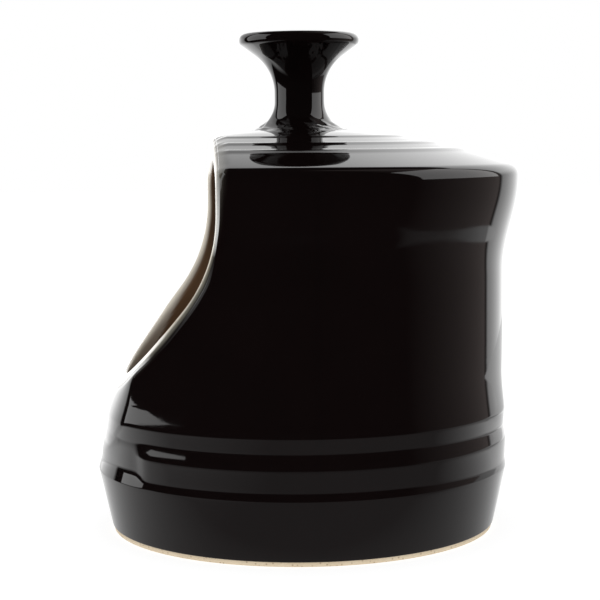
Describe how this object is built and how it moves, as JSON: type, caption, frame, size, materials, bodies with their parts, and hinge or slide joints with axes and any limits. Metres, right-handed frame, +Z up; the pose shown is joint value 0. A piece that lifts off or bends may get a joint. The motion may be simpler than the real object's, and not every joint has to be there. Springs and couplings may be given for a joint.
{
  "type": "salt pig",
  "caption": "Round black-glazed stoneware salt pig with a swept open mouth, ring-turned wall, ridged domed crown and a trumpet knob; the cream-glazed room holds salt for pinching.",
  "frame": {"origin": "on the turning axis, in the plane of the foot ring that stands on the table", "axes": "+Z up along the turning axis, -Y out of the mouth, +X to the right of someone who faces the mouth, and X = 0 the mirror plane"},
  "size_m": [0.12, 0.1166, 0.136],
  "materials": {
    "stoneware": "bare fired clay, matt",
    "black_glaze": "glossy black glaze",
    "cream_glaze": "glossy cream glaze"
  },
  "bodies": {
    "root": {"stoneware_body": "stoneware", "knob": "stoneware", "luting_slip": "stoneware", "outer_glaze": "black_glaze", "liner_glaze": "cream_glaze", "base_glaze": "black_glaze"}
  },
  "joints": []
}
